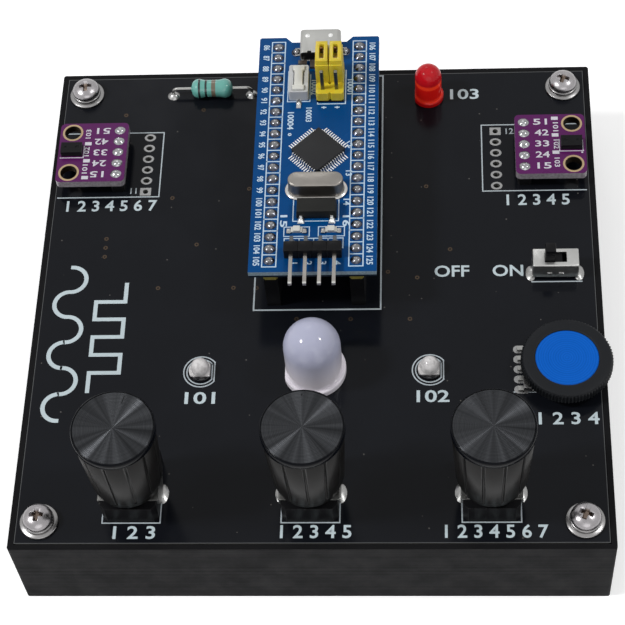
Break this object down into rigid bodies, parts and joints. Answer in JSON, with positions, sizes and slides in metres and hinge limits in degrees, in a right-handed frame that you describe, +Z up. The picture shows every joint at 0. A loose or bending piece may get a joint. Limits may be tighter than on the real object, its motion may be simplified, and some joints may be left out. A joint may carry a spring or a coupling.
{
  "type": "theremin",
  "caption": "Desk-top optical theremin: a black circuit board as lid of a shallow case, with a plug-in controller board, two distance sensors, three knobs, a thumb wheel and lamps",
  "frame": {"origin": "centre of the case's flat underside", "axes": "+Z up out of the lid board, +X to the right and +Y to the rear for a player who sits at the knob side"},
  "size_m": [0.1031, 0.1022, 0.0431],
  "materials": {
    "case_plastic": "printed layers",
    "black_board": "glossy solder mask",
    "blue_board": "glossy solder mask",
    "purple_board": "glossy solder mask",
    "brass": "turned",
    "gold_plate": "plated",
    "nickel": "bright nickel plate",
    "tin": "satin tin plate",
    "black_plastic": "satin",
    "chip_plastic": "moulded",
    "chip_ceramic": "satin",
    "yellow_plastic": "satin",
    "grey_plastic": "satin",
    "white_plastic": "satin",
    "green_lacquer": "lacquered",
    "red_lens": "tinted clear",
    "milky_lens": "frosted",
    "clear_lens": "frosted clear",
    "knob_plastic": "satin, grooved",
    "dark_aluminium": "spun, dark anodised",
    "shaft_metal": "turned",
    "blue_plastic": "satin"
  },
  "bodies": {
    "root": {"case": "case_plastic", "threaded_inserts": "brass", "panel_board": "black_board", "corner_screws": "nickel", "spring_washers": "nickel", "flat_washers": "nickel", "header_sockets": "black_plastic", "socket_contacts": "gold_plate", "pin_strips": "yellow_plastic", "strip_pins": "tin", "controller_board": "blue_board", "usb_shell": "nickel", "usb_tongue": "black_plastic", "reset_switch": "grey_plastic", "boot_header": "yellow_plastic", "boot_pins": "tin", "processor": "chip_plastic", "chip_leads": "tin", "crystal_can": "nickel", "clock_crystal": "chip_plastic", "board_lamps": "white_plastic", "debug_header": "black_plastic", "debug_pins": "tin", "chip_parts": "chip_ceramic", "left_sensor_board": "purple_board", "right_sensor_board": "purple_board", "sensor_chips": "chip_plastic", "sensor_headers": "black_plastic", "sensor_pins": "tin", "inductor": "green_lacquer", "inductor_leads": "tin", "red_lamp": "red_lens", "colour_lamp": "milky_lens", "clear_lamps": "clear_lens", "lamp_leads": "tin", "pot_bodies": "black_plastic", "pot_brackets": "tin", "terminals": "tin", "switch_base": "black_plastic", "switch_shell": "nickel", "wheel_plate": "nickel", "audio_jack": "black_plastic", "audio_chip": "chip_plastic"},
    "left_knob": {"left_knob": "knob_plastic", "left_knob_disc": "dark_aluminium", "left_shaft": "shaft_metal"},
    "middle_knob": {"middle_knob": "knob_plastic", "middle_knob_disc": "dark_aluminium", "middle_shaft": "shaft_metal"},
    "right_knob": {"right_knob": "knob_plastic", "right_knob_disc": "dark_aluminium", "right_shaft": "shaft_metal"},
    "octave_carriage": {"wheel_carriage": "black_plastic"},
    "octave_wheel": {"wheel_ring": "knob_plastic", "wheel_disc": "blue_plastic"},
    "slider": {"switch_slider": "black_plastic"},
    "reset": {"reset_button": "white_plastic"},
    "jumper_left": {"left_jumper": "yellow_plastic"},
    "jumper_right": {"right_jumper": "yellow_plastic"}
  },
  "joints": [
    {"name": "left_knob_turn", "type": "hinge", "parent": "root", "child": "left_knob", "pos_m": [-0.0303, -0.041, 0.03], "axis": [0, 0, 1], "range_deg": [-140, 140]},
    {"name": "middle_knob_turn", "type": "hinge", "parent": "root", "child": "middle_knob", "pos_m": [0.0001, -0.041, 0.03], "axis": [0, 0, 1], "range_deg": [-140, 140]},
    {"name": "right_knob_turn", "type": "hinge", "parent": "root", "child": "right_knob", "pos_m": [0.0305, -0.041, 0.03], "axis": [0, 0, 1], "range_deg": [-140, 140]},
    {"name": "octave_press", "type": "slide", "parent": "root", "child": "octave_carriage", "axis": [-1, 0, 0], "range_m": [0, 0.0005], "stiffness_N_per_m": 200},
    {"name": "octave_turn", "type": "hinge", "parent": "octave_carriage", "child": "octave_wheel", "pos_m": [0.04405, -0.01665, 0.022], "axis": [0, 0, 1], "continuous": true},
    {"name": "switch_slide", "type": "slide", "parent": "root", "child": "slider", "axis": [1, 0, 0], "range_m": [0, 0.002]},
    {"name": "reset_press", "type": "slide", "parent": "root", "child": "reset", "axis": [0, 0, -1], "range_m": [0, 0.00025], "stiffness_N_per_m": 200},
    {"name": "left_jumper_lift", "type": "slide", "parent": "root", "child": "jumper_left", "axis": [0, 0, 1], "range_m": [0, 0.006]},
    {"name": "right_jumper_lift", "type": "slide", "parent": "root", "child": "jumper_right", "axis": [0, 0, 1], "range_m": [0, 0.006]}
  ]
}
